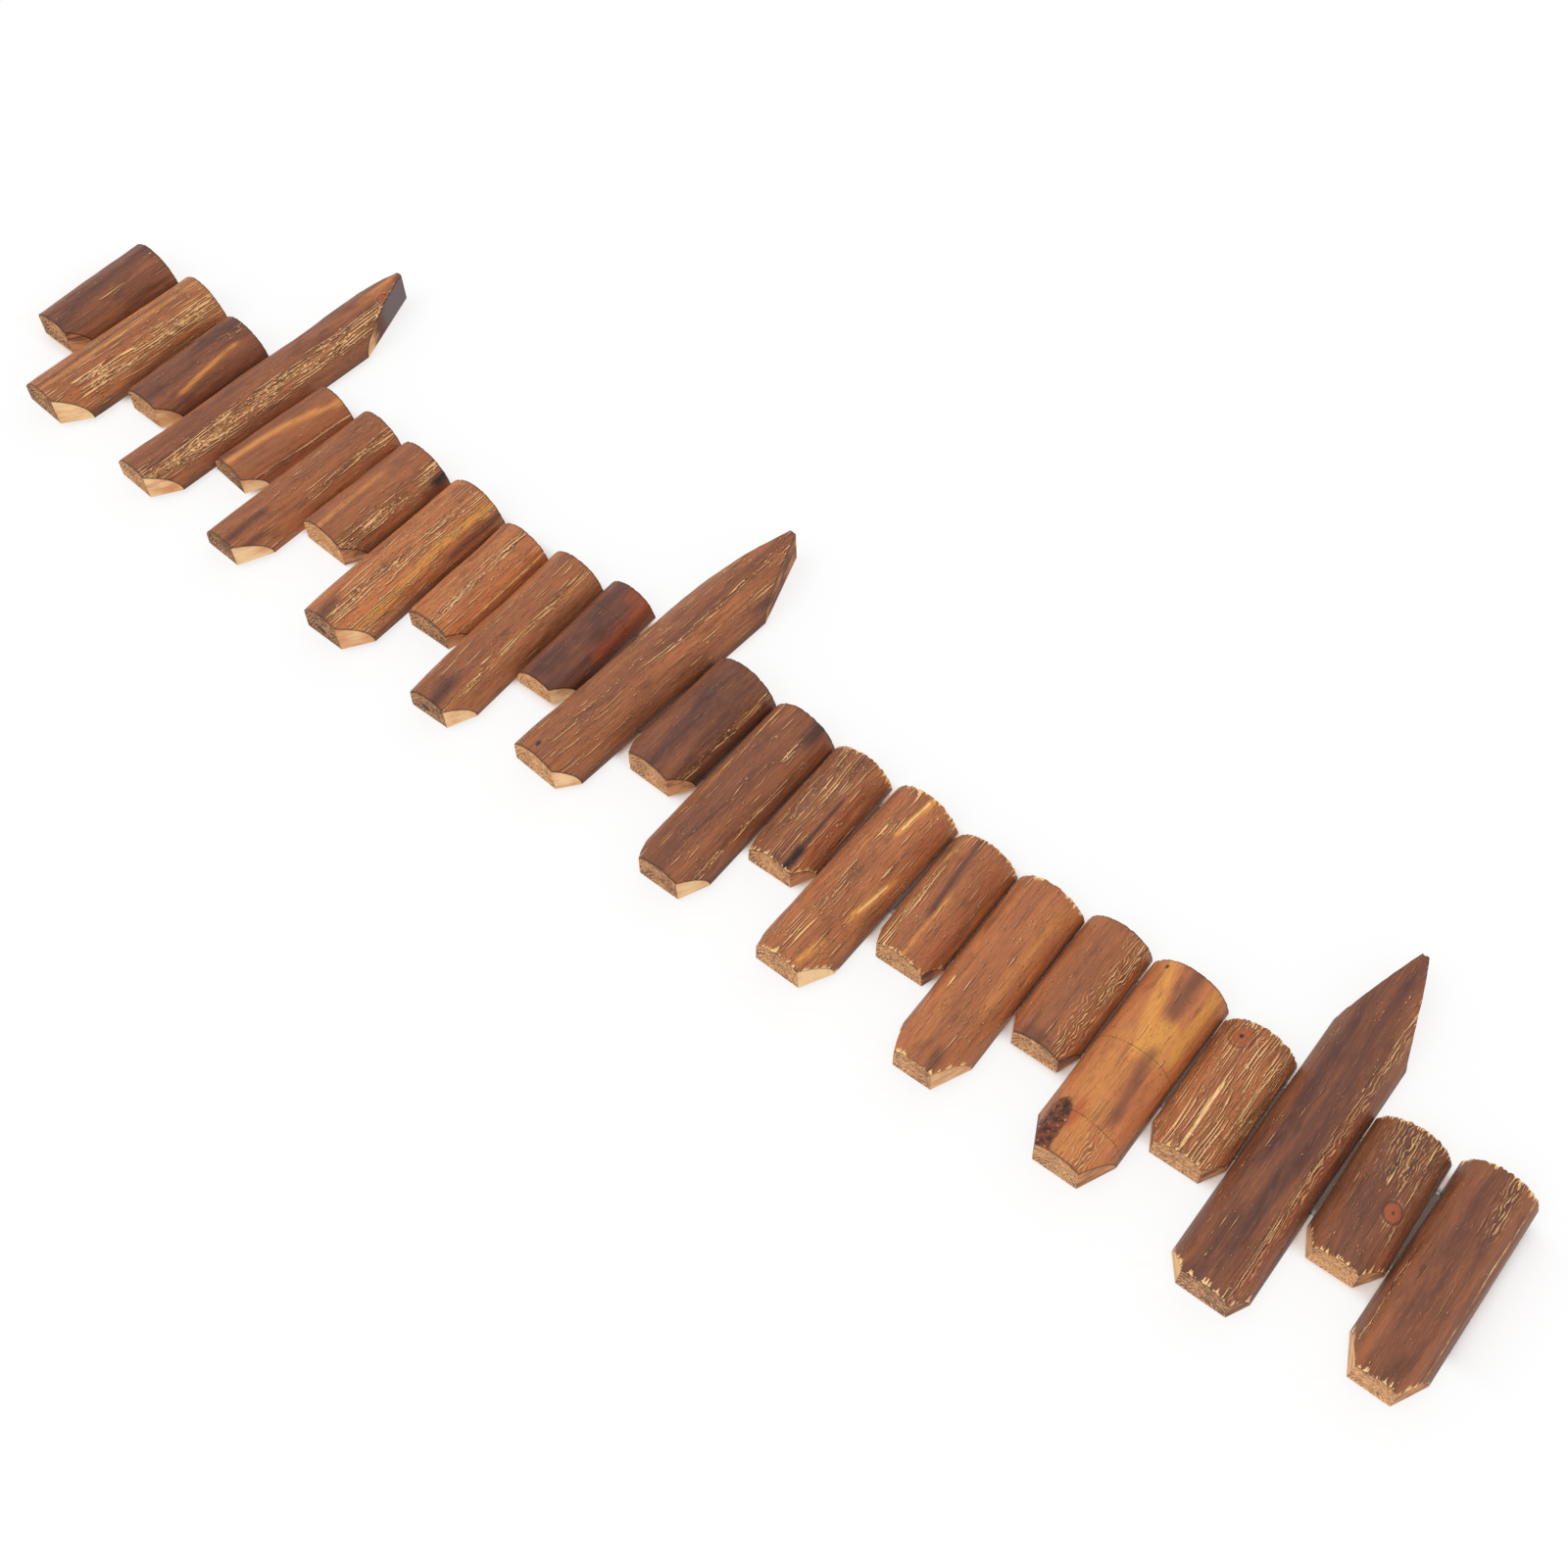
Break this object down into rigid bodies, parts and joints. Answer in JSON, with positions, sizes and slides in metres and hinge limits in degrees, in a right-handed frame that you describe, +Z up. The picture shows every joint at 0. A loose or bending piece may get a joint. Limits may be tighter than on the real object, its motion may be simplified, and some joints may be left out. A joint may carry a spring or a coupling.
{
  "type": "split-log garden edging fence",
  "caption": "Low garden edging fence of half-round torched log pickets, short and tall in turn, stapled to two wires, with pointed stakes that go into the ground.",
  "frame": {"origin": "on the sawn foot of the middle short picket, at ground level", "axes": "+Z up, X along the row with the first picket at +X, the round sides of the pickets face -Y"},
  "size_m": [1.2029, 0.0299, 0.2596],
  "materials": {
    "torched_wood": "torched and brushed, satin",
    "galvanised_wire": "dull galvanised"
  },
  "bodies": {
    "root": {"short_picket_01": "torched_wood", "short_picket_03": "torched_wood", "short_picket_05": "torched_wood", "short_picket_07": "torched_wood", "short_picket_09": "torched_wood", "short_picket_11": "torched_wood", "short_picket_13": "torched_wood", "short_picket_15": "torched_wood", "short_picket_17": "torched_wood", "short_picket_19": "torched_wood", "short_picket_21": "torched_wood", "short_picket_23": "torched_wood", "stake_04": "torched_wood", "stake_12": "torched_wood", "stake_22": "torched_wood", "tall_picket_02": "torched_wood", "tall_picket_06": "torched_wood", "tall_picket_08": "torched_wood", "tall_picket_10": "torched_wood", "tall_picket_14": "torched_wood", "tall_picket_16": "torched_wood", "tall_picket_18": "torched_wood", "tall_picket_20": "torched_wood", "tall_picket_24": "torched_wood", "lower_staples": "galvanised_wire", "lower_wire": "galvanised_wire", "upper_staples": "galvanised_wire", "upper_wire": "galvanised_wire"}
  },
  "joints": []
}
